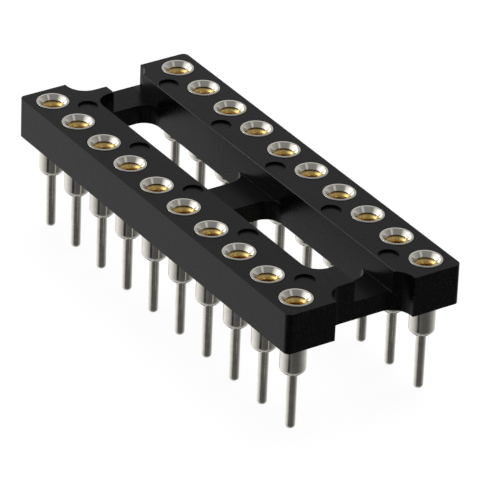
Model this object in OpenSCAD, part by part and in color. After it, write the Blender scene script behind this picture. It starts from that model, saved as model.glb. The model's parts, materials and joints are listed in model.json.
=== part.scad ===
// Open-frame socket for a dual-in-line chip: a moulded housing, turned pin sleeves
// pressed into its two rails, and a sprung contact clip pressed into every sleeve.
// X runs along the rows, Y across them, Z up. Z = 0 is the board that the sleeves'
// shoulders stand on, below the middle of the pin pattern.

/* [Layout] */
// Contacts in each row
contacts_per_row = 10; // [8:2:14]
// Distance between neighbouring contacts
pitch = 2.54; // [2.4:0.01:3]
// Distance between the two rows
row_spacing = 7.62; // [7.2:0.01:15.24]
// Distance from the outer contacts to the housing's outer faces
edge_margin = 1.27; // [1.15:0.01:1.6]

/* [Housing] */
// Height of the housing's underside above the board
standoff = 1.95; // [1.2:0.05:2.4]
// Height of the two rails
rail_h = 2.2; // [1.8:0.05:2.8]
// Width of each rail
rail_w = 3.3; // [3.2:0.01:3.5]
// Radius of the upright outer corners
corner_r = 0.3; // [0.1:0.05:0.9]
// Height of the low cross bars between the rails
bar_h = 1.03; // [0.7:0.01:1.5]
// Width of the cross bar at the pin 1 end, from the end face
far_bar_w = 1.94; // [1.6:0.01:2.6]
// Width of the cross bar at the other end, from the end pocket
near_bar_w = 1.72; // [1:0.01:2.4]
// Width of the middle cross bar
mid_bar_w = 2.3; // [1.5:0.01:3]
// Shift of the middle cross bar towards the pin 1 end
mid_bar_shift = 0.25; // [0:0.01:0.5]
// Corner radius of the windows between the cross bars
window_r = 0.95; // [0.3:0.05:1.1]
// How far the end pockets reach into the housing
pocket_depth = 1.2; // [1.1:0.01:1.4]
// Width of the end pockets across the rows
pocket_w = 4.58; // [4:0.01:5]
// Radius of the inner corners of the end pockets
pocket_r = 1.05; // [0.3:0.05:1.1]
// How far the flush tab at the pin 1 end reaches in from the pin 1 rail
far_tab_reach = 1.25; // [1.15:0.01:1.6]
// How far the flush tab at the other end reaches in from the pin 1 rail
near_tab_reach = 1.36; // [1.15:0.01:1.6]
// Diameter of the ejector marks on top of the rails
mark_d = 1.05; // [0.6:0.01:1.1]
// Depth of the ejector marks
mark_depth = 0.2; // [0.05:0.01:0.4]
// Distance of the ejector marks from the rails' inner faces
mark_inset = 0.68; // [0.6:0.01:0.75]

/* [Sleeves] */
// Diameter of the head at the top of a sleeve
head_d = 1.7; // [1.66:0.01:1.85]
// Height of the head
head_h = 0.55; // [0.45:0.01:0.8]
// How far the head stands above the rail
head_proud = 0.04; // [0:0.01:0.1]
// Gap around the head in its seat
head_gap = 0.03; // [0.02:0.01:0.15]
// Diameter of the funnel at its mouth
mouth_d = 1.62; // [1.4:0.01:1.64]
// Depth of the funnel
mouth_depth = 0.24; // [0.1:0.01:0.4]
// Diameter of the barrel below the head
barrel_d = 1.33; // [1.28:0.01:1.4]
// Width of the bevel around the barrel's lower edge
barrel_bevel = 0.2; // [0.05:0.01:0.25]
// How far the retaining barb stands out from the barrel
barb_out = 0.05; // [0.02:0.01:0.08]
// Height of the retaining barb
barb_h = 0.4; // [0.2:0.05:0.6]
// Diameter of the bore that holds the contact clip
clip_bore_d = 1.08; // [1.06:0.01:1.12]
// Thickness of solid metal between that bore and the barrel's lower end
barrel_floor = 0.8; // [0.5:0.05:1]
// Diameter of the solder tail
tail_d = 0.51; // [0.45:0.01:0.6]
// Length of the solder tail below the board
tail_l = 3.18; // [2.5:0.01:4]
// Fillet radius where the tail leaves the barrel
tail_root_r = 0.1; // [0.04:0.01:0.15]
// Edge radius of the tail's tip
tail_tip_r = 0.2; // [0.05:0.01:0.22]

/* [Contact clips] */
// Distance from the bottom of the funnel down to the clip
clip_drop = 0.1; // [0:0.01:0.15]
// Height of the clip's collar
collar_h = 0.7; // [0.5:0.01:0.9]
// Bore of the collar
collar_bore_d = 0.74; // [0.66:0.01:0.76]
// Width of the lead-in bevel around the collar's mouth
lead_in = 0.12; // [0.04:0.01:0.14]
// Height of the lead-in bevel
lead_in_h = 0.3; // [0.1:0.01:0.4]
// Thickness of the spring fingers
finger_t = 0.09; // [0.06:0.01:0.12]
// Opening between the fingers where they grip a lead
grip_d = 0.36; // [0.3:0.01:0.42]
// Height of the grip above the fingers' tips
grip_rise = 0.3; // [0.15:0.05:0.4]
// How far the tips flare out below the grip
tip_flare = 0.06; // [0.02:0.01:0.1]
// Width of the slots between the fingers
slot_w = 0.12; // [0.08:0.01:0.16]
// Distance from the fingers' tips to the floor of the bore
tip_gap = 0.15; // [0.05:0.01:0.3]

/* [Fits] */
// Gap left around a pressed-in piece
press_gap = 0.005; // [0.002:0.001:0.01]

/* [Hidden] */
$fn = 48;
eps = 0.01;
fingers = 4;
drill_point_angle = 118;
arc_step = 15;

pin_count = 2 * contacts_per_row;
row_l = (contacts_per_row - 1) * pitch;
body_l = row_l + 2 * edge_margin;
body_w = row_spacing + 2 * edge_margin;
top_z = standoff + rail_h;
bar_top_z = standoff + bar_h;
rail_in = body_w / 2 - rail_w;
far_tab_y = far_tab_reach - rail_in;
near_tab_y = near_tab_reach - rail_in;
far_edge_x = far_bar_w - body_l / 2;
near_edge_x = body_l / 2 - pocket_depth - near_bar_w;
mid_far_x = -mid_bar_shift - mid_bar_w / 2;
mid_near_x = -mid_bar_shift + mid_bar_w / 2;
mark_pairs = floor((contacts_per_row - 2) / 4);
mark_y = rail_in + mark_inset;

rim_z = top_z + head_proud;
head_z = rim_z - head_h;
funnel_z = rim_z - mouth_depth;
barrel_r = barrel_d / 2;
barb_r = barrel_r + barb_out;
barb_top_z = (standoff + head_z + barb_h) / 2;
clip_bore_r = clip_bore_d / 2;
drill_point_h = clip_bore_r / tan(drill_point_angle / 2);
tail_r = tail_d / 2;
shoulder_w = barrel_r - barrel_bevel - tail_r;
root_r = min(tail_root_r, shoulder_w / 2);

clip_top_z = funnel_z - clip_drop;
collar_z = clip_top_z - collar_h;
tip_z = barrel_floor + drill_point_h + tip_gap;
grip_z = tip_z + grip_rise;
collar_r = clip_bore_r - press_gap;
collar_bore_r = collar_bore_d / 2;
grip_r = grip_d / 2;

// Two-digit number of a pin, counted along the front row and back along the other
function number(pin) = str(pin < 10 ? "0" : "", pin);
function in_front_row(pin) = pin <= contacts_per_row;
function pin_x(pin) = in_front_row(pin)
    ? (pin - 1) * pitch - row_l / 2
    : row_l / 2 - (pin - contacts_per_row - 1) * pitch;
function pin_y(pin) = in_front_row(pin) ? -row_spacing / 2 : row_spacing / 2;

SLEEVES = [for (pin = [1 : pin_count]) str("sleeve_", number(pin))];
CONTACTS = [for (pin = [1 : pin_count]) str("contact_", number(pin))];

// Moves what follows from the middle of the part to a pin's place
module at_pin(pin) {
    translate([pin_x(pin), pin_y(pin), 0]) children();
}

// Rectangle between two corners with all four corners rounded
module round_rect(low, high, r) {
    side = high - low;
    round = min(r, side.x / 2 - eps, side.y / 2 - eps);
    translate(low) {
        translate([round, 0]) square([side.x - 2 * round, side.y]);
        translate([0, round]) square([side.x, side.y - 2 * round]);
        for (x = [round, side.x - round], y = [round, side.y - round])
            translate([x, y]) circle(r = round);
    }
}

module body_outline() {
    half = [body_l, body_w] / 2;
    round_rect(-half, half, corner_r);
}

// Pocket that opens through one end face, end being -1 or 1
module end_pocket(end) {
    half = [pocket_depth, pocket_w / 2];
    translate([end * body_l / 2, 0]) round_rect(-half, half, pocket_r);
}

// Gap between the rails from one cross bar to the next
module window(from_x, to_x) {
    round_rect([from_x, -rail_in], [to_x, rail_in], window_r);
}

// Channel between the back rail and the tab of one end, as far as the middle
module tab_gap(end, tab_y) {
    translate([end < 0 ? -body_l : 0, tab_y]) square([body_l, rail_in - tab_y]);
}

// Full-length layer of the rails and the cross bars
module lower_plan() {
    difference() {
        body_outline();
        end_pocket(1);
        window(far_edge_x, mid_far_x);
        window(mid_near_x, near_edge_x);
    }
}

// Layer above the cross bars: the rails and the two flush tabs
module upper_plan() {
    difference() {
        body_outline();
        end_pocket(-1);
        end_pocket(1);
        window(far_edge_x, near_edge_x);
        tab_gap(-1, far_tab_y);
        tab_gap(1, near_tab_y);
    }
}

// Bore for a barrel with the wider seat of its head
module sleeve_hole() {
    translate([0, 0, standoff - eps]) cylinder(r = barb_r + press_gap, h = rail_h + 2 * eps);
    translate([0, 0, head_z]) cylinder(r = head_d / 2 + head_gap, h = head_h);
}

module ejector_marks() {
    for (k = [-mark_pairs : mark_pairs], side = [-1, 1])
        translate([2 * k * pitch, side * mark_y, top_z - mark_depth])
            cylinder(d = mark_d, h = mark_depth + eps);
}

module housing() {
    color("#2a2a2a") difference() {
        union() {
            translate([0, 0, standoff]) linear_extrude(bar_h) lower_plan();
            translate([0, 0, bar_top_z - eps]) linear_extrude(rail_h - bar_h + eps) upper_plan();
        }
        for (pin = [1 : pin_count]) at_pin(pin) sleeve_hole();
        ejector_marks();
    }
}

// Half section of the turned sleeve, from the head down to the tip of the tail
module sleeve_section() {
    root = [for (a = [90 : arc_step : 180])
        [tail_r + root_r, -root_r] + root_r * [cos(a), sin(a)]];
    tip = [for (a = [0 : -arc_step : -90])
        [tail_r - tail_tip_r, tail_tip_r - tail_l] + tail_tip_r * [cos(a), sin(a)]];
    polygon(concat(
        [
            [0, rim_z],
            [head_d / 2, rim_z],
            [head_d / 2, head_z],
            [barrel_r, head_z],
            [barrel_r, barb_top_z],
            [barb_r, barb_top_z],
            [barrel_r, barb_top_z - barb_h],
            [barrel_r, barrel_bevel],
            [barrel_r - barrel_bevel, 0]
        ],
        root,
        tip,
        [[0, -tail_l]]
    ));
}

// Funnel and drilled bore down the middle of a sleeve
module sleeve_bore() {
    floor_z = barrel_floor + drill_point_h;
    translate([0, 0, funnel_z]) cylinder(r1 = clip_bore_r, r2 = mouth_d / 2, h = mouth_depth + eps);
    translate([0, 0, floor_z]) cylinder(r = clip_bore_r, h = funnel_z - floor_z + eps);
    translate([0, 0, barrel_floor]) cylinder(r1 = 0, r2 = clip_bore_r, h = drill_point_h + eps);
}

module sleeve() {
    color("#c9c6bd") difference() {
        rotate_extrude() sleeve_section();
        sleeve_bore();
    }
}

// Half section of the clip: a collar that carries fingers drawn in to the grip
module contact_section() {
    polygon([
        [collar_r, clip_top_z],
        [collar_r, collar_z],
        [grip_r + finger_t, grip_z],
        [grip_r + finger_t + tip_flare, tip_z],
        [grip_r + tip_flare, tip_z],
        [grip_r, grip_z],
        [collar_bore_r, collar_z],
        [collar_bore_r, clip_top_z - lead_in_h],
        [collar_bore_r + lead_in, clip_top_z]
    ]);
}

module contact() {
    color("#d9a93f") difference() {
        rotate_extrude() contact_section();
        for (k = [0 : fingers / 2 - 1])
            rotate(k * 360 / fingers)
                translate([-clip_bore_r, -slot_w / 2, tip_z - eps])
                    cube([2 * clip_bore_r, slot_w, collar_z - tip_z]);
    }
}

housing();
for (pin = [1 : pin_count]) {
    at_pin(pin) sleeve();
    at_pin(pin) contact();
}
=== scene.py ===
# %% [markdown]
# # A turned-pin chip socket
# The solids of a chip socket are already modelled: a black frame, turned sleeves and sprung clips. This
# lesson gives them the fine meshes and finishes that a camera sees. The solids come in as a fixed frame in
# metres. Every new piece is made in millimetres around that frame and scaled once at the end, because
# bevels of a few hundredths of a millimetre are too small for Blender's tools when written in metres.

# %% Load the frame
import json
import math

import bmesh
import bpy
from mathutils import Matrix, Vector


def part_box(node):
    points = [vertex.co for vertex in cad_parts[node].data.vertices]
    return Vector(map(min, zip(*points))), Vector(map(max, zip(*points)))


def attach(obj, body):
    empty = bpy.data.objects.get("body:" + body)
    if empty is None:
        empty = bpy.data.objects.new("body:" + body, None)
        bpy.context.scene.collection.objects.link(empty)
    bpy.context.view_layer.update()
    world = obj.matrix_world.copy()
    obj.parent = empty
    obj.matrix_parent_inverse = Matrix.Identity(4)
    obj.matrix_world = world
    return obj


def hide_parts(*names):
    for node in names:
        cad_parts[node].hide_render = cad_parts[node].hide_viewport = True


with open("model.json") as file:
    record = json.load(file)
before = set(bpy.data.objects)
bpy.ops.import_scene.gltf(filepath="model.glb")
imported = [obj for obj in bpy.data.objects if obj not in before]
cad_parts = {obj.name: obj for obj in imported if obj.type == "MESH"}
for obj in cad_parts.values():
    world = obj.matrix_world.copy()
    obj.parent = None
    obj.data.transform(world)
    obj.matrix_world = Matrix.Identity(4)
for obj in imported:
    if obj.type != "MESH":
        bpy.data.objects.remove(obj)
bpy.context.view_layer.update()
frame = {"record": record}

MM = 0.001


# %% [markdown]
# ## What the frame already knows
# The solids give the heights and the outer box, and the record's mounts give the places of the pins, the
# bore of the clips and the radius of the tails. Reading them here, and not typing them again, keeps the
# looks on the solids.


# %% Read the sizes of the solids
def box_mm(node):
    low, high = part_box(node)
    return low / MM, high / MM


mounts = {mount["name"]: mount for mount in frame["record"]["mounts"]}
pins = {name[-2:]: Vector(mount["pos_m"][:2]) / MM
        for name, mount in mounts.items() if name.startswith("lead_")}
housing_low, housing_high = box_mm("housing")
sleeve_low, sleeve_high = box_mm("sleeve_01")
clip_low, clip_high = box_mm("contact_01")

BODY_HALF = Vector(housing_high[:2])
UNDERSIDE, RAIL_TOP = housing_low.z, housing_high.z
TAIL_TIP, RIM_TOP = sleeve_low.z, sleeve_high.z
CLIP_TIP, CLIP_TOP = clip_low.z, clip_high.z
CLIP_BORE_R = mounts["lead_01"]["dims"]["r_mm"]
TAIL_R = mounts["tails_1"]["dims"]["stud_r_mm"]
PITCH = (pins["02"] - pins["01"]).length
print("pins:", len(pins), "pitch:", round(PITCH, 3))
print("rail top:", round(RAIL_TOP, 2), "tail tip:", round(TAIL_TIP, 2))

# %% [markdown]
# ## Places that the shape and its finish share
# The back rail's inner wall has a painted highlight along its top edge and in its corner with the bars, and
# the bars' tops mirror less than the rails, a painted shade of the channel. The plastic's nodes have to
# find these places, so the sizes behind them come before both. A moulded wall leans a little, so that it
# lets go of the mould's core.

# %% Inner walls and bars
RAIL_INNER_Y = 1.78
BAR_HEIGHT = 1.03
BAR_TOP = UNDERSIDE + BAR_HEIGHT
DRAFT = 0.07


def wall_lean(z):
    return DRAFT * (RAIL_TOP - z) / (RAIL_TOP - UNDERSIDE)


print("lean of the walls at the underside:", round(wall_lean(UNDERSIDE), 3), "mm")

# %% [markdown]
# ## Colours and nodes
# Colours are written as the hex values that a paint program shows. Blender works in linear light, so one
# function turns a hex value into linear numbers. A second one adds a shader node with its settings, and
# joins it to the nodes before it wherever an input is given another node's output. A mix node has its
# sockets once for every kind of data, so they are taken by number, and the numbers get names here.


# %% Helpers for materials
def linear(hex_colour):
    channels = [int(hex_colour[i:i + 2], 16) / 255 for i in (1, 3, 5)]
    return [c / 12.92 if c <= 0.04045 else ((c + 0.055) / 1.055) ** 2.4 for c in channels] + [1.0]


def add_node(tree, kind, inputs, **settings):
    node = tree.nodes.new(kind)
    for name, value in settings.items():
        setattr(node, name, value)
    for socket, value in inputs.items():
        if isinstance(value, bpy.types.NodeSocket):
            tree.links.new(value, node.inputs[socket])
        else:
            node.inputs[socket].default_value = value
    return node


def new_material(name):
    material = bpy.data.materials.new(name)
    material.use_nodes = True
    material.node_tree.nodes.clear()
    return material, material.node_tree


FACTOR, VALUE_A, VALUE_B, COLOUR_A, COLOUR_B = 0, 2, 3, 6, 7
MIXED_VALUE, MIXED_COLOUR = 0, 2
print("white in linear light:", linear("#ffffff")[:3])

# %% [markdown]
# ## The frame's plastic
# Such frames are moulded in black polyester filled with short glass fibres, because it has to survive
# soldering. The mould is spark-eroded, which leaves a satin skin, and the fibres lie along the flow and
# show as faint streaks along the rails. A single grey would look like paint, so a fine grain and the
# stretched streaks together vary the black, and the grain also varies the gloss and lifts the surface a
# little. Real grain is a few hundredths of a millimetre wide. It is drawn coarser here, so that the render
# can show it.

# %% Grain and streaks of the polyester
GRAIN_MM = 0.12
GRAIN_LIFT_MM = 0.004
GRAIN_STRENGTH = 0.35
STREAK_MM = 0.35
STREAK_STRETCH = 9.0
# Most of a noise lies within the first range, and most of a product of two noises within the second.
NOISE_LOW, NOISE_HIGH = 0.3, 0.7
MOTTLE_LOW, MOTTLE_HIGH = 0.12, 0.42
SATIN_LOW, SATIN_HIGH = 0.22, 0.32

plastic, tree = new_material("black_glass_filled_polyester")
coords = add_node(tree, "ShaderNodeTexCoord", {})
along_flow = add_node(tree, "ShaderNodeMapping", {
    "Vector": coords.outputs["Object"],
    "Scale": (1 / (STREAK_MM * MM * STREAK_STRETCH), 1 / (STREAK_MM * MM), 1 / (STREAK_MM * MM))})
streaks = add_node(tree, "ShaderNodeTexNoise", {
    "Vector": along_flow.outputs["Vector"], "Scale": 1.0, "Detail": 3.0, "Roughness": 0.6})
grain = add_node(tree, "ShaderNodeTexNoise", {
    "Vector": coords.outputs["Object"], "Scale": 1 / (GRAIN_MM * MM),
    "Detail": 4.0, "Roughness": 0.65})
mottle = add_node(tree, "ShaderNodeMath", {
    0: streaks.outputs["Fac"], 1: grain.outputs["Fac"]}, operation="MULTIPLY")
spread = add_node(tree, "ShaderNodeMapRange", {
    "Value": mottle.outputs["Value"], "From Min": MOTTLE_LOW, "From Max": MOTTLE_HIGH})
black = add_node(tree, "ShaderNodeMix", {
    FACTOR: spread.outputs["Result"], COLOUR_A: linear("#030303"), COLOUR_B: linear("#070707")},
    data_type="RGBA")
satin = add_node(tree, "ShaderNodeMapRange", {
    "Value": grain.outputs["Fac"], "From Min": NOISE_LOW, "From Max": NOISE_HIGH,
    "To Min": SATIN_LOW, "To Max": SATIN_HIGH})
skin = add_node(tree, "ShaderNodeBump", {
    "Height": grain.outputs["Fac"], "Strength": GRAIN_STRENGTH, "Distance": GRAIN_LIFT_MM * MM})
print("grain:", GRAIN_MM, "mm, streaks:", STREAK_MM, "mm wide")

# %% [markdown]
# ## Painted highlights on the plastic
# The back rail has two fine light lines, one on its top inner edge and one in its corner with the middle
# and near bars. They are painted highlights: a light grey stands in for the glints of the rounded edge and
# the corner. They could be painted on a picture, but a picture would need an unwrapped mesh. Both run
# straight along the rail, so the distance from one point of the rail's section finds each of them. They
# show only on faces that look up, and the streaks break them up. The same test for faces that look up,
# together with the height, finds the tops of the bars, which mirror less than the rails as painted shade.

# %% Painted highlight lines along the back rail
HIGHLIGHT_LINE_MM = 0.045
# A face looks up where the upward part of its normal is larger than this.
LOOKS_UP = 0.25

split = add_node(tree, "ShaderNodeSeparateXYZ", {"Vector": coords.outputs["Object"]})
section = add_node(tree, "ShaderNodeCombineXYZ", {
    "Y": split.outputs["Y"], "Z": split.outputs["Z"]})
surface = add_node(tree, "ShaderNodeNewGeometry", {})
facing = add_node(tree, "ShaderNodeSeparateXYZ", {"Vector": surface.outputs["True Normal"]})
upper = add_node(tree, "ShaderNodeMath", {
    0: facing.outputs["Z"], 1: LOOKS_UP}, operation="GREATER_THAN")
lines = []
for z, start_x in ((RAIL_TOP, -BODY_HALF.x), (BAR_TOP, -BODY_HALF.x / 2)):
    edge = (0, (RAIL_INNER_Y - wall_lean(z)) * MM, z * MM)
    off_line = add_node(tree, "ShaderNodeVectorMath", {
        0: section.outputs["Vector"], 1: edge}, operation="DISTANCE")
    close = add_node(tree, "ShaderNodeMapRange", {
        "Value": off_line.outputs["Value"], "From Min": HIGHLIGHT_LINE_MM / 2 * MM, "From Max": HIGHLIGHT_LINE_MM * MM,
        "To Min": 1.0, "To Max": 0.0})
    begun = add_node(tree, "ShaderNodeMath", {
        0: split.outputs["X"], 1: start_x * MM}, operation="GREATER_THAN")
    line = add_node(tree, "ShaderNodeMath", {
        0: close.outputs["Result"], 1: begun.outputs["Value"]}, operation="MULTIPLY")
    lines.append(line.outputs["Value"])
either = add_node(tree, "ShaderNodeMath", {0: lines[0], 1: lines[1]}, operation="MAXIMUM")
highlight_facing_up = add_node(tree, "ShaderNodeMath", {
    0: either.outputs["Value"], 1: upper.outputs["Value"]}, operation="MULTIPLY")
painted_highlight = add_node(tree, "ShaderNodeMath", {
    0: highlight_facing_up.outputs["Value"], 1: streaks.outputs["Fac"]}, operation="MULTIPLY")
# Painted highlight: the light grey of the two lines stands in for the glints of the edge and the corner.
tone = add_node(tree, "ShaderNodeMix", {
    FACTOR: painted_highlight.outputs["Value"], COLOUR_A: black.outputs[MIXED_COLOUR],
    COLOUR_B: linear("#464646")}, data_type="RGBA")
print("worn lines:", len(lines))

# %% Black glass-filled polyester
POLYESTER_IOR = 1.5
# Painted shade: the bars' tops in the channel mirror less than the rails, which darkens them.
SHEEN, SHADED_BAR_SHEEN = 0.12, 0.072
SHADED_BAR_BAND_MM = 0.02

at_bar = add_node(tree, "ShaderNodeMath", {
    0: split.outputs["Z"], 1: BAR_TOP * MM, 2: SHADED_BAR_BAND_MM * MM}, operation="COMPARE")
on_bar = add_node(tree, "ShaderNodeMath", {
    0: at_bar.outputs["Value"], 1: upper.outputs["Value"]}, operation="MULTIPLY")
sheen = add_node(tree, "ShaderNodeMapRange", {
    "Value": on_bar.outputs["Value"], "To Min": SHEEN, "To Max": SHADED_BAR_SHEEN})
shader = add_node(tree, "ShaderNodeBsdfPrincipled", {
    "Base Color": tone.outputs[MIXED_COLOUR], "Roughness": satin.outputs["Result"],
    "IOR": POLYESTER_IOR, "Specular IOR Level": sheen.outputs["Result"],
    "Normal": skin.outputs["Normal"]})
add_node(tree, "ShaderNodeOutputMaterial", {"Surface": shader.outputs["BSDF"]})
print("material:", plastic.name)

# %% [markdown]
# ## The sleeves' tin plate
# A sleeve is turned from brass bar on an automatic lathe and plated with tin. The plate is bright and
# slightly warm, and the lathe's marks stay visible through it as rings. The marks follow the distance from
# the axis and the height. A wave texture would space them evenly, which a lathe never does, so a noise that
# reads only those two draws them on the barrel, the funnel and the tail alike. Real marks are about a
# hundredth of a millimetre apart. They are drawn coarser here, so that the render can show them. Soft
# blotches vary the colour and the gloss, and the thin tails are a little duller than the barrels.

# %% Rings and blotches of the tin
TURNING_MM = 0.06
TURNING_LIFT_MM = 0.0025
TURNING_STRENGTH = 0.2
BLOTCH_MM = 0.4

tin, tree = new_material("tin_plated_turned_brass")
coords = add_node(tree, "ShaderNodeTexCoord", {})
split = add_node(tree, "ShaderNodeSeparateXYZ", {"Vector": coords.outputs["Object"]})
across = add_node(tree, "ShaderNodeCombineXYZ", {
    "X": split.outputs["X"], "Y": split.outputs["Y"]})
radius = add_node(tree, "ShaderNodeVectorMath", {0: across.outputs["Vector"]}, operation="LENGTH")
section = add_node(tree, "ShaderNodeCombineXYZ", {
    "X": radius.outputs["Value"], "Y": split.outputs["Z"]})
rings = add_node(tree, "ShaderNodeTexNoise", {
    "Vector": section.outputs["Vector"], "Scale": 1 / (TURNING_MM * MM), "Detail": 2.0})
marks = add_node(tree, "ShaderNodeBump", {
    "Height": rings.outputs["Fac"], "Strength": TURNING_STRENGTH, "Distance": TURNING_LIFT_MM * MM})
where = add_node(tree, "ShaderNodeNewGeometry", {})
blotches = add_node(tree, "ShaderNodeTexNoise", {
    "Vector": where.outputs["Position"], "Scale": 1 / (BLOTCH_MM * MM), "Detail": 3.0})
print("rings:", TURNING_MM, "mm, blotches:", BLOTCH_MM, "mm")

# %% Tin-plated turned brass
POLISHED_LOW, POLISHED_HIGH = 0.06, 0.16
TAIL_DULLER = 0.1
TAIL_FADE_MM = 0.2

tone = add_node(tree, "ShaderNodeMix", {
    FACTOR: blotches.outputs["Fac"], COLOUR_A: linear("#c2bdb2"), COLOUR_B: linear("#e8e5dd")},
    data_type="RGBA")
polish = add_node(tree, "ShaderNodeMapRange", {
    "Value": blotches.outputs["Fac"], "From Min": NOISE_LOW, "From Max": NOISE_HIGH,
    "To Min": POLISHED_LOW, "To Max": POLISHED_HIGH})
tail_dulling = add_node(tree, "ShaderNodeMapRange", {
    "Value": split.outputs["Z"], "From Min": -TAIL_FADE_MM * MM, "From Max": 0.0,
    "To Min": TAIL_DULLER, "To Max": 0.0})
gloss = add_node(tree, "ShaderNodeMath", {
    0: polish.outputs["Result"], 1: tail_dulling.outputs["Result"]}, operation="ADD")
shader = add_node(tree, "ShaderNodeBsdfPrincipled", {
    "Base Color": tone.outputs[MIXED_COLOUR], "Metallic": 1.0, "Roughness": gloss.outputs["Value"],
    "Normal": marks.outputs["Normal"]})
add_node(tree, "ShaderNodeOutputMaterial", {"Surface": shader.outputs["BSDF"]})
print("material:", tin.name)

# %% [markdown]
# ## The clips' gold
# The clips are stamped from a springy copper alloy, rolled to a tube and flashed with gold. Gold keeps its
# colour in the reflections, so the metal's own base colour does most of the work. The rolled strip is a
# little uneven and less bright than the turned tin, which a soft noise in the colour and gloss stands for.

# %% Gold-flashed spring alloy
STRIP_MM = 0.15
ROLLED_LOW, ROLLED_HIGH = 0.22, 0.34

gold, tree = new_material("gold_flashed_spring_alloy")
where = add_node(tree, "ShaderNodeNewGeometry", {})
uneven = add_node(tree, "ShaderNodeTexNoise", {
    "Vector": where.outputs["Position"], "Scale": 1 / (STRIP_MM * MM), "Detail": 3.0})
tone = add_node(tree, "ShaderNodeMix", {
    FACTOR: uneven.outputs["Fac"], COLOUR_A: linear("#e6c26f"), COLOUR_B: linear("#f2d48b")},
    data_type="RGBA")
gloss = add_node(tree, "ShaderNodeMapRange", {
    "Value": uneven.outputs["Fac"], "From Min": NOISE_LOW, "From Max": NOISE_HIGH,
    "To Min": ROLLED_LOW, "To Max": ROLLED_HIGH})
shader = add_node(tree, "ShaderNodeBsdfPrincipled", {
    "Base Color": tone.outputs[MIXED_COLOUR], "Metallic": 1.0, "Roughness": gloss.outputs["Result"]})
add_node(tree, "ShaderNodeOutputMaterial", {"Surface": shader.outputs["BSDF"]})
print("material:", gold.name)

# %% [markdown]
# ## Outlines with rounded corners
# Both the frame's plan and the sleeves' section are paths of straight runs with rounded corners. It is
# easiest to write a path as its sharp corners, each with a radius, and to let one function replace a corner
# by its arc.


# %% Corners to arcs
ARC_STEP = math.radians(7.5)


def round_corners(corners):
    path = []
    for i, (x, y, radius) in enumerate(corners):
        corner = Vector((x, y))
        if radius == 0:
            path.append(corner)
            continue
        back = (Vector(corners[i - 1][:2]) - corner).normalized()
        ahead = (Vector(corners[(i + 1) % len(corners)][:2]) - corner).normalized()
        half = back.angle(ahead) / 2
        centre = corner + (back + ahead).normalized() * radius / math.sin(half)
        start = corner + back * radius / math.tan(half) - centre
        end = corner + ahead * radius / math.tan(half) - centre
        steps = max(2, round((math.pi - 2 * half) / ARC_STEP))
        turn = start.angle_signed(end)
        path += [centre + start @ Matrix.Rotation(turn * k / steps, 2) for k in range(steps + 1)]
    return path


def rectangle(low_x, low_y, high_x, high_y, radius):
    return round_corners([(low_x, low_y, radius), (high_x, low_y, radius),
                          (high_x, high_y, radius), (low_x, high_y, radius)])


print("points in a rounded square:", len(rectangle(0, 0, 10, 10, 1)))

# %% [markdown]
# ## Lofts and turned shapes
# Two simple builders are enough. A loft joins outlines with equal numbers of points, one above the other,
# so it makes a straight block as well as a wall that leans. A lathe turns a half section about an upright
# axis, where a point on the axis becomes one vertex, so that no sliver faces are left there.


# %% Mesh builders
ROUND_STEPS = 72


def add_loft(bm, outlines):
    rings = [[bm.verts.new((x, y, z)) for x, y in outline] for outline, z in outlines]
    bm.faces.new(rings[0][::-1])
    bm.faces.new(rings[-1])
    for low, high in zip(rings, rings[1:]):
        for i in range(len(low)):
            bm.faces.new((low[i - 1], low[i], high[i], high[i - 1]))


def add_turned(bm, section, centre=(0.0, 0.0)):
    rings = []
    for r, z in section:
        count = ROUND_STEPS if r > 0 else 1
        turns = [math.tau * k / ROUND_STEPS for k in range(count)]
        rings.append([bm.verts.new((centre[0] + r * math.cos(a), centre[1] + r * math.sin(a), z))
                      for a in turns])
    for low, high in zip(rings, rings[1:]):
        for k in range(ROUND_STEPS):
            corners = [low[k % len(low)], low[(k + 1) % ROUND_STEPS % len(low)],
                       high[(k + 1) % ROUND_STEPS % len(high)], high[k % len(high)]]
            bm.faces.new(list(dict.fromkeys(corners)))


print("steps round a turned piece:", ROUND_STEPS)

# %% [markdown]
# ## From a mesh to a piece
# A mesh with a material is shaded smooth wherever its faces meet at a small angle, so that round walls look
# round, and stays sharp at its real edges. A cutter has no material and needs no shading.


# %% Pieces from meshes
SMOOTH_BELOW = 35.0


def piece_from(name, bm, material=None, smooth_below=SMOOTH_BELOW):
    mesh = bpy.data.meshes.new(name)
    bm.to_mesh(mesh)
    bm.free()
    if material:
        mesh.materials.append(material)
        mesh.polygons.foreach_set("use_smooth", [True] * len(mesh.polygons))
        mesh.set_sharp_from_angle(angle=math.radians(smooth_below))
    piece = bpy.data.objects.new(name, mesh)
    bpy.context.scene.collection.objects.link(piece)
    return piece


print("smooth below:", SMOOTH_BELOW, "degrees")

# %% [markdown]
# ## The moulded frame
# The frame is a ladder: two rails, three low bars, two windows, a pocket in each end and a flush tab beside
# the rail of pin 1 at each end. The mould's core makes the windows, the channel and the pockets, so cutting
# them out of a block is the natural way to model them. Each sleeve has a stepped hole, and the ejector pins
# leave shallow round marks.

# %% Sizes of the frame
FAR_BAR_LENGTH = 1.94
NEAR_BAR_LENGTH = 2.92
FAR_BAR_X = FAR_BAR_LENGTH - BODY_HALF.x
NEAR_BAR_X = BODY_HALF.x - NEAR_BAR_LENGTH
MIDDLE_BAR_X = (-1.40, 0.90)
WINDOW_R = 0.95
CORNER_R = 0.3
FAR_TAB_WIDTH = 1.25
NEAR_TAB_WIDTH = 1.36
FAR_TAB_Y = FAR_TAB_WIDTH - RAIL_INNER_Y
NEAR_TAB_Y = NEAR_TAB_WIDTH - RAIL_INNER_Y
PAST = 1.0
windows = ((FAR_BAR_X, MIDDLE_BAR_X[0]), (MIDDLE_BAR_X[1], NEAR_BAR_X))
print("window lengths:", [round(end - start, 2) for start, end in windows])


# %% Outlines that narrow downwards
def window_outline(window, z, inset=0.0):
    lean = wall_lean(z) + inset
    return rectangle(window[0] + lean, lean - RAIL_INNER_Y,
                     window[1] - lean, RAIL_INNER_Y - lean, WINDOW_R - lean)


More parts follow.
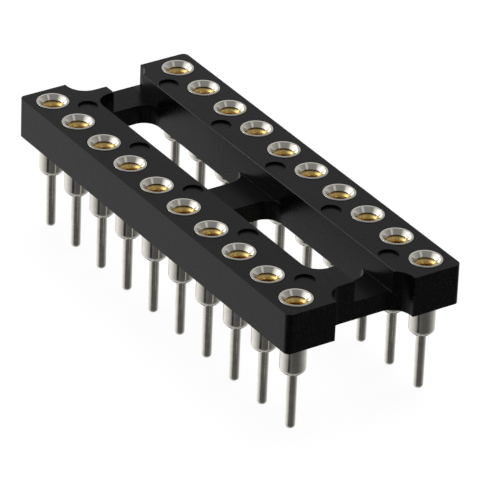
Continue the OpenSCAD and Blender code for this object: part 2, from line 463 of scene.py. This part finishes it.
def channel_outline(z):
    lean = wall_lean(z)
    far, near = FAR_BAR_X + lean, NEAR_BAR_X - lean
    front, back = lean - RAIL_INNER_Y, RAIL_INNER_Y - lean
    end = BODY_HALF.x + PAST
    return round_corners([
        (-end, FAR_TAB_Y, 0), (far, FAR_TAB_Y, 0),
        (far, front, WINDOW_R - lean), (near, front, WINDOW_R - lean),
        (near, NEAR_TAB_Y, 0), (end, NEAR_TAB_Y, 0), (end, back, 0), (-end, back, 0)])


print("points in the channel's outline:", len(channel_outline(BAR_TOP)))

# %% [markdown]
# ## Block, channel and windows
# The channel is the space above the bars, and the windows go on through them. Their walls lean alike, and
# two leaning walls that almost coincide give a cut with stray faces. So each window has a ring of points
# exactly at the bars' tops, where it meets the channel, and above that it keeps clear of the channel's
# walls.

# %% Block, channel and windows
WINDOW_CLEAR = 0.1
CUT_LOW, CUT_HIGH = UNDERSIDE - PAST, RAIL_TOP + PAST

block = bmesh.new()
plan = rectangle(-BODY_HALF.x, -BODY_HALF.y, BODY_HALF.x, BODY_HALF.y, CORNER_R)
add_loft(block, [(plan, UNDERSIDE), (plan, RAIL_TOP)])

channel = bmesh.new()
add_loft(channel, [(channel_outline(BAR_TOP), BAR_TOP), (channel_outline(CUT_HIGH), CUT_HIGH)])

holes = bmesh.new()
for window in windows:
    add_loft(holes, [(window_outline(window, CUT_LOW), CUT_LOW),
                     (window_outline(window, BAR_TOP), BAR_TOP),
                     (window_outline(window, BAR_TOP, WINDOW_CLEAR), CUT_HIGH)])
print("windows:", len(windows))

# %% [markdown]
# ## Seats, marks and pockets
# A sleeve's hole has a narrow part for the barrel and a wide seat for the head, so it is turned like the
# sleeve itself. The ejector marks lie in every second gap between the pins of a row. The pocket at the far
# end stops at the bars' tops, and the one at the near end goes right through.

# %% Seats and ejector marks
HEAD_R = 0.85
HEAD_HEIGHT = 0.55
HEAD_BOTTOM = RIM_TOP - HEAD_HEIGHT
SEAT_GAP = 0.03
SEAT_R = HEAD_R + SEAT_GAP
BARREL_HOLE_R = 0.72
MARK_R = 0.525
MARK_DEPTH = 0.11
MARK_INSET = 0.68

for place in pins.values():
    add_turned(holes, [(0, CUT_LOW), (BARREL_HOLE_R, CUT_LOW), (BARREL_HOLE_R, HEAD_BOTTOM),
                       (SEAT_R, HEAD_BOTTOM), (SEAT_R, CUT_HIGH), (0, CUT_HIGH)], place)

mark_floor = RAIL_TOP - MARK_DEPTH
mark_y = RAIL_INNER_Y + MARK_INSET
gaps_beside_middle = (len(pins) // 2 - 2) // 2
mark_pairs = gaps_beside_middle // 2
for k in range(-mark_pairs, mark_pairs + 1):
    for side in (-1, 1):
        add_turned(holes, [(0, mark_floor), (MARK_R, mark_floor), (MARK_R, CUT_HIGH), (0, CUT_HIGH)],
                   (2 * k * PITCH, side * mark_y))
print("seats:", len(pins), "ejector marks:", 2 * (2 * mark_pairs + 1))

# %% End pockets
POCKET_DEPTH = 1.2
POCKET_HALF = 2.29
POCKET_R = 1.05

pockets = bmesh.new()
for side, floor in ((-1, BAR_TOP), (1, CUT_LOW)):
    middle = side * BODY_HALF.x
    outline = rectangle(middle - POCKET_DEPTH, -POCKET_HALF, middle + POCKET_DEPTH, POCKET_HALF, POCKET_R)
    add_loft(pockets, [(outline, floor), (outline, CUT_HIGH)])
print("pocket width:", 2 * POCKET_HALF, "mm")


# %% Cut the block
def cut(piece, cutter):
    tool = piece.modifiers.new("cut", "BOOLEAN")
    tool.operation = "DIFFERENCE"
    tool.solver = "EXACT"
    tool.object = cutter
    depsgraph = bpy.context.evaluated_depsgraph_get()
    result = bpy.data.meshes.new_from_object(piece.evaluated_get(depsgraph))
    piece.modifiers.clear()
    piece.data = result
    bpy.data.objects.remove(cutter)


moulding = piece_from("moulded_frame", block)
for cutter in (channel, holes, pockets):
    cut(moulding, piece_from("cutter", cutter))
print("faces after the cuts:", len(moulding.data.polygons))

# %% [markdown]
# ## Soft edges
# A mould's edges are never sharp, and it is the bright line along a rounded edge that makes plastic look
# moulded. A bevel modifier would round every edge, so the edges are picked by where they lie: the upper
# ones that stick out, and the inside corner of the back rail and the bars. The sleeves' seats and the lower
# edges stay sharp. The mesh is scaled to metres after that, and weighted normals keep the large faces flat
# up to their rounded edges.

# %% Pick the edges of the frame
SHARP = math.radians(40)
WELD = 1e-4
NEAR_ENOUGH = 0.01

bm = bmesh.new()
bm.from_mesh(moulding.data)
bmesh.ops.remove_doubles(bm, verts=bm.verts, dist=WELD)
bmesh.ops.dissolve_degenerate(bm, edges=bm.edges, dist=WELD)


def is_sharp(edge):
    return edge.is_manifold and edge.calc_face_angle() > SHARP


def at_seat(vert):
    return min((vert.co.xy - place).length for place in pins.values()) < SEAT_R + NEAR_ENOUGH


def in_back_corner(vert):
    off_wall = vert.co.y - RAIL_INNER_Y + wall_lean(BAR_TOP)
    return abs(vert.co.z - BAR_TOP) < NEAR_ENOUGH and abs(off_wall) < NEAR_ENOUGH


outer = [e for e in bm.edges if is_sharp(e) and e.is_convex
         and max(v.co.z for v in e.verts) > BAR_TOP - NEAR_ENOUGH
         and not all(at_seat(v) for v in e.verts)]
inner = [e for e in bm.edges if is_sharp(e) and not e.is_convex
         and all(in_back_corner(v) for v in e.verts)]
print("edges to round:", len(outer), "outer,", len(inner), "inner")

# %% Round the edges of the frame
EDGE_R = 0.05
EDGE_STEPS = 3
FRAME_SMOOTH_BELOW = 50.0

bmesh.ops.bevel(bm, geom=outer + inner, offset=EDGE_R, offset_type="OFFSET", segments=EDGE_STEPS,
                profile=0.5, affect="EDGES", clamp_overlap=True, loop_slide=False)
bmesh.ops.scale(bm, vec=(MM, MM, MM), verts=bm.verts)
bpy.data.objects.remove(moulding)
moulding = piece_from("moulded_frame", bm, plastic, FRAME_SMOOTH_BELOW)
moulding.modifiers.new("flat_faces", "WEIGHTED_NORMAL").keep_sharp = True
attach(moulding, "root")
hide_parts("housing")
print("faces of the frame:", len(moulding.data.polygons))

# %% [markdown]
# ## The turned sleeves
# A sleeve is one turned piece, so it is one half section spun about its axis. A Screw modifier could spin
# it too, but the lathe above closes the mesh on the axis by itself. From the bottom a sleeve has a solder
# tail with a round tip, a small fillet, a shoulder that stands on the board, a barrel with a rounded foot
# and a retaining barb, and a head with a funnel that leads into the bore for the clip. The head's rim is
# slightly crowned, so that it catches the bright far side of the room. The outer corners get the small
# radius that a turning tool leaves.

# %% Sizes of a sleeve
TIP_R = 0.2
ROOT_R = 0.1
BARREL_R = 0.665
BARREL_BEVEL = 0.2
FOOT_R = 0.3
BARB_R = 0.715
BARB_HEIGHT = 0.4
BARB_TOP = (UNDERSIDE + HEAD_BOTTOM + BARB_HEIGHT) / 2
TOOL_R = 0.03
RIM_R = 0.02
# The rim rises by its crown from the head's outer edge to the crest.
CROWN = 0.012
CREST_R = 0.77
LIP_R = 0.03
MOUTH_R = 0.73
MOUTH_DEPTH = 0.24
BORE_R = 0.54
BORE_FLOOR = 0.8
DRILL_HALF_ANGLE = math.radians(59)
DRILL_POINT = BORE_R / math.tan(DRILL_HALF_ANGLE)
print("width of the rim:", round(HEAD_R - MOUTH_R, 2), "mm")

# %% Half section of a sleeve
sleeve_section = round_corners([
    (0, TAIL_TIP, 0),
    (TAIL_R, TAIL_TIP, TIP_R),
    (TAIL_R, 0, ROOT_R),
    (BARREL_R - BARREL_BEVEL, 0, TOOL_R),
    (BARREL_R, BARREL_BEVEL, FOOT_R),
    (BARREL_R, BARB_TOP - BARB_HEIGHT, 0),
    (BARB_R, BARB_TOP, 0),
    (BARREL_R, BARB_TOP, 0),
    (BARREL_R, HEAD_BOTTOM, 0),
    (HEAD_R, HEAD_BOTTOM, TOOL_R),
    (HEAD_R, RIM_TOP - CROWN, RIM_R),
    (CREST_R, RIM_TOP, 0),
    (MOUTH_R, RIM_TOP, LIP_R),
    (BORE_R, RIM_TOP - MOUTH_DEPTH, TOOL_R),
    (BORE_R, BORE_FLOOR + DRILL_POINT, 0),
    (0, BORE_FLOOR, 0)])
print("points in the sleeve's section:", len(sleeve_section))

# %% [markdown]
# ## The sprung clips
# A clip is a short tube with a bell mouth, slit from below into four fingers that lean in to a waist, where
# they grip a lead, and flare again at their tips. Slots cut out of a finished tube would leave long thin
# faces, so the clip is a grid of rows and columns with the slots left out. Slots with parallel sides take a
# wider angle where the fingers come closer to the axis, so the columns are spread between the slots at
# every height. A cell between two fingers is filled only in the collar, and each open edge gets its own
# face, which leaves one closed skin.

# %% Levels of a clip
CLIP_GAP = 0.005
COLLAR_R = BORE_R - CLIP_GAP
COLLAR_HEIGHT = 0.7
LEAD_IN = 0.12
# Each pair of the bell mouth is a depth in mm and the share of the lead-in that is left there.
BELL = ((0.0, 1.0), (0.05, 0.55), (0.1, 0.24), (0.17, 0.06), (0.24, 0.0))
FINGER_T = 0.09
GRIP_R = 0.18
GRIP_RISE = 0.3
TIP_FLARE = 0.06

# Each level is an outer radius, an inner radius and a height.
collar_levels = [(COLLAR_R, CLIP_BORE_R + LEAD_IN * share, CLIP_TOP - depth) for depth, share in BELL]
collar_levels.append((COLLAR_R, CLIP_BORE_R, CLIP_TOP - COLLAR_HEIGHT))
finger_levels = [(GRIP_R + FINGER_T, GRIP_R, CLIP_TIP + GRIP_RISE),
                 (GRIP_R + FINGER_T + TIP_FLARE, GRIP_R + TIP_FLARE, CLIP_TIP)]
levels = collar_levels + finger_levels
print("levels of a clip:", len(levels))


# %% Mesh of a clip
SLOT_HALF = 0.06
FINGERS = 4
FINGER_COLUMNS = 10


def clip_mesh():
    bm = bmesh.new()
    columns = [(finger, k) for finger in range(FINGERS) for k in range(FINGER_COLUMNS + 1)]
    share = math.tau / FINGERS
    grid = {}
    for level, (outer_r, inner_r, z) in enumerate(levels):
        for side, r in (("outer", outer_r), ("inner", inner_r)):
            slot = math.asin(SLOT_HALF / r)
            for column, (finger, k) in enumerate(columns):
                a = finger * share + slot + (share - 2 * slot) * k / FINGER_COLUMNS
                grid[level, side, column] = bm.verts.new((r * math.cos(a), r * math.sin(a), z))
    last = len(levels) - 1
    collar_end = len(collar_levels) - 1
    for column, (finger, k) in enumerate(columns):
        beside = (column + 1) % len(columns)
        in_slot = k == FINGER_COLUMNS
        lowest = collar_end if in_slot else last
        for side in ("outer", "inner"):
            for level in range(lowest):
                bm.faces.new([grid[level, side, column], grid[level + 1, side, column],
                              grid[level + 1, side, beside], grid[level, side, beside]])
        for level in (0, lowest):
            bm.faces.new([grid[level, "outer", column], grid[level, "outer", beside],
                          grid[level, "inner", beside], grid[level, "inner", column]])
        if in_slot:
            for edge in (column, beside):
                for level in range(collar_end, last):
                    bm.faces.new([grid[level, "outer", edge], grid[level + 1, "outer", edge],
                                  grid[level + 1, "inner", edge], grid[level, "inner", edge]])
    bmesh.ops.recalc_face_normals(bm, faces=bm.faces)
    return bm


print("fingers of a clip:", FINGERS)

# %% [markdown]
# ## One sleeve and one clip for every pin
# The pieces of all the pins are alike, and they stay separate, as they are on the real socket. Each is
# built about its own axis and then moved to its pin, so that the lathe's rings stay centred on it. Clips
# are pressed in at any angle, so each is turned by its own amount.

# %% Place the sleeves and clips
CLIP_TURN = math.radians(37)

for number, place in pins.items():
    bm = bmesh.new()
    add_turned(bm, sleeve_section)
    bmesh.ops.scale(bm, vec=(MM, MM, MM), verts=bm.verts)
    sleeve = piece_from("turned_sleeve_" + number, bm, tin)
    bm = clip_mesh()
    bmesh.ops.rotate(bm, matrix=Matrix.Rotation(CLIP_TURN * int(number), 3, "Z"), verts=bm.verts)
    bmesh.ops.scale(bm, vec=(MM, MM, MM), verts=bm.verts)
    clip = piece_from("sprung_clip_" + number, bm, gold)
    for piece, node, slot in ((sleeve, "sleeve_", "sleeve"), (clip, "contact_", "contact")):
        piece.location = (place.x * MM, place.y * MM, 0)
        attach(piece, "root")
        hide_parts(node + number)
print("sleeves and clips:", len(pins), "each")

# %% [markdown]
# ## The white sweep
# The socket stands on the tips of its tails on white card that curves up all round, like a photographer's
# sweep. It is a turned shape too. A sweep that is only lit turns grey away from the lamps, so most of its
# brightness is its own where it is looked at, and the rest is real light, which keeps the socket's shadow.
# The pins touch the card, and a mirror image of it would fill them with plain white, so mirror rays pass
# through it and show the room instead.

# %% White card
SWEEP_OWN_SHARE = 0.95

card, tree = new_material("white_card_sweep")
path = add_node(tree, "ShaderNodeLightPath", {})
looked_at = add_node(tree, "ShaderNodeMath", {
    0: path.outputs["Is Camera Ray"], 1: path.outputs["Is Glossy Ray"]}, operation="MAXIMUM")
seen = add_node(tree, "ShaderNodeMath", {
    0: looked_at.outputs["Value"], 1: path.outputs["Is Transmission Ray"]}, operation="MAXIMUM")
own = add_node(tree, "ShaderNodeMath", {
    0: seen.outputs["Value"], 1: SWEEP_OWN_SHARE}, operation="MULTIPLY")
lit = add_node(tree, "ShaderNodeBsdfDiffuse", {"Color": linear("#f4f4f4")})
bright = add_node(tree, "ShaderNodeEmission", {"Color": linear("#ffffff"), "Strength": 1.0})
both = add_node(tree, "ShaderNodeMixShader", {
    FACTOR: own.outputs["Value"], 1: lit.outputs["BSDF"], 2: bright.outputs["Emission"]})
add_node(tree, "ShaderNodeOutputMaterial", {"Surface": both.outputs["Shader"]})
print("material:", card.name)

# %% Sweep under and around the socket
SWEEP_R = 600.0
SWEEP_CURVE_R = 150.0
SWEEP_HEIGHT = 300.0

bm = bmesh.new()
add_turned(bm, round_corners([
    (0, TAIL_TIP, 0), (SWEEP_R, TAIL_TIP, SWEEP_CURVE_R), (SWEEP_R, TAIL_TIP + SWEEP_HEIGHT, 0)]))
bmesh.ops.scale(bm, vec=(MM, MM, MM), verts=bm.verts)
sweep = piece_from("white_sweep", bm, card)
sweep.visible_glossy = False
print("sweep at z =", round(TAIL_TIP, 2), "mm")

# %% [markdown]
# ## The room
# Bright metal has no colour of its own to show: it shows the room. Here that is white on the far side and
# dark where the camera stands, so every pin gets a dark stripe down its middle that fades to bright edges.
# Upwards the room grows dim, which keeps the top of the black frame black. One dot product with a direction
# gives the first, and the height of the direction gives the second. A photograph of a studio could do the
# same, but a few numbers are easier to adjust.

# %% Room from white to dark
DARK_SIDE = Vector((0.97, -0.24, 0.0)).normalized()
WHITE_SIDE_LEVEL, DARK_SIDE_LEVEL = 1.15, 0.1
CEILING_LEVEL = 0.3
# The walls fade between two cosines of the angle from the dark side, the ceiling between two heights.
FADE_START, FADE_END = -0.87, 0.85
CEILING_START, CEILING_END = -0.12, 0.88

world = bpy.data.worlds.new("studio_room")
world.use_nodes = True
tree = world.node_tree
tree.nodes.clear()
look = add_node(tree, "ShaderNodeTexCoord", {})
side = add_node(tree, "ShaderNodeVectorMath", {
    0: look.outputs["Generated"], 1: DARK_SIDE}, operation="DOT_PRODUCT")
walls = add_node(tree, "ShaderNodeMapRange", {
    "Value": side.outputs["Value"], "From Min": FADE_START, "From Max": FADE_END,
    "To Min": WHITE_SIDE_LEVEL, "To Max": DARK_SIDE_LEVEL}, interpolation_type="SMOOTHSTEP")
split = add_node(tree, "ShaderNodeSeparateXYZ", {"Vector": look.outputs["Generated"]})
upwards = add_node(tree, "ShaderNodeMapRange", {
    "Value": split.outputs["Z"], "From Min": CEILING_START, "From Max": CEILING_END},
    interpolation_type="SMOOTHSTEP")
level = add_node(tree, "ShaderNodeMix", {
    FACTOR: upwards.outputs["Result"], VALUE_A: walls.outputs["Result"], VALUE_B: CEILING_LEVEL})
print("dark side of the room:", [round(v, 2) for v in DARK_SIDE])

# %% [markdown]
# ## Windows and dim corners
# Three dim patches and three bright ones make the room less even. The pins and the funnels mirror them as
# short dark and light marks. A patch is a direction, the angles where it is full and where it has faded
# away, and the factor by which it dims or brightens the room.

# %% Patches of the room
ROOM_PATCHES = {
    "beside the camera": ((0.34, -0.80, -0.50), 5, 13, 0.16),
    "under the socket": ((-0.50, 0.33, -0.80), 16, 26, 0.15),
    "back of the room": ((0.0, 1.0, -0.1), 10, 60, 0.75),
    "left window": ((-0.45, -0.74, 0.50), 8, 36, 3.0),
    "narrow window": ((0.72, 0.21, 0.66), 4, 12, 2.4),
    "right window": ((0.30, 0.85, 0.43), 10, 35, 1.3),
}

strength = level.outputs[MIXED_VALUE]
for direction, full, faded, factor in ROOM_PATCHES.values():
    off_patch = add_node(tree, "ShaderNodeVectorMath", {
        0: look.outputs["Generated"], 1: Vector(direction).normalized()}, operation="DOT_PRODUCT")
    patch = add_node(tree, "ShaderNodeMapRange", {
        "Value": off_patch.outputs["Value"], "From Min": math.cos(math.radians(faded)),
        "From Max": math.cos(math.radians(full)), "To Min": 1.0, "To Max": factor},
        interpolation_type="SMOOTHSTEP")
    product = add_node(tree, "ShaderNodeMath", {
        0: strength, 1: patch.outputs["Result"]}, operation="MULTIPLY")
    strength = product.outputs["Value"]
room = add_node(tree, "ShaderNodeBackground", {"Color": linear("#ffffff"), "Strength": strength})
add_node(tree, "ShaderNodeOutputWorld", {"Surface": room.outputs["Background"]})
bpy.context.scene.world = world
print("patches:", ", ".join(ROOM_PATCHES))

# %% [markdown]
# ## Lamps
# The lamps only have to light the card and draw soft edges on the plastic. A large softbox stands on the
# left and brightens the front rail and the funnels' walls that face it. A narrow one beside it draws the
# glints on the rounded edges and in the funnels. The third hangs above and gives most of the light. Its
# mirror image would grey the tops of the rails, so mirror rays don't see it.


# %% Softboxes
def softbox(name, place_mm, size_mm, watts, mirrored):
    lamp = bpy.data.lights.new(name, "AREA")
    lamp.shape = "RECTANGLE"
    lamp.size, lamp.size_y = size_mm[0] * MM, size_mm[1] * MM
    lamp.energy = watts
    holder = bpy.data.objects.new(name, lamp)
    bpy.context.scene.collection.objects.link(holder)
    holder.location = Vector(place_mm) * MM
    holder.rotation_euler = (-holder.location).to_track_quat("-Z", "Y").to_euler()
    holder.visible_glossy = mirrored
    print(name, watts, "W")


softbox("left_softbox", place_mm=(-260, -80, 140), size_mm=(300, 200), watts=0.08, mirrored=True)
softbox("edge_strip", place_mm=(-216, -147, 144), size_mm=(60, 150), watts=0.08, mirrored=True)
softbox("top_softbox", place_mm=(-40, 60, 220), size_mm=(200, 200), watts=0.95, mirrored=False)

# %% [markdown]
# ## Camera
# The photographer stood back with a long lens, looking down at the near end from about thirty degrees, with
# the camera a little tilted. The three angles give the camera's axes, and the offset along these axes gives
# its place. The focal length is the one that gives the socket its size in a square picture of 480 pixels.

# %% Camera at the photograph's angle
VIEW_AZIMUTH, VIEW_ELEVATION, VIEW_ROLL = (math.radians(a) for a in (56.065, 29.826, 2.343))
CAMERA_OFFSET_MM = Vector((0.2779, -3.1442, 240.292))
FOCAL_PIXELS = 4777.5
PICTURE_PIXELS = 480
SENSOR_MM = 36.0
CLIP_NEAR, CLIP_FAR = 0.01, 10.0

back = Vector((math.sin(VIEW_AZIMUTH) * math.cos(VIEW_ELEVATION),
               -math.cos(VIEW_AZIMUTH) * math.cos(VIEW_ELEVATION), math.sin(VIEW_ELEVATION)))
level_right = Vector((math.cos(VIEW_AZIMUTH), math.sin(VIEW_AZIMUTH), 0))
right = Matrix.Rotation(VIEW_ROLL, 3, back) @ level_right
axes = Matrix((right, back.cross(right), back)).transposed()
aim = Vector((0, 0, RIM_TOP))

lens = bpy.data.cameras.new("camera")
lens.sensor_width = SENSOR_MM
lens.lens = SENSOR_MM * FOCAL_PIXELS / PICTURE_PIXELS
lens.clip_start, lens.clip_end = CLIP_NEAR, CLIP_FAR
camera = bpy.data.objects.new("camera", lens)
bpy.context.scene.collection.objects.link(camera)
camera.matrix_world = Matrix.Translation((aim + axes @ CAMERA_OFFSET_MM) * MM) @ axes.to_4x4()
bpy.context.scene.camera = camera
bpy.context.scene.view_settings.view_transform = "Standard"
print("camera at", [round(v / MM, 1) for v in camera.matrix_world.translation], "mm")
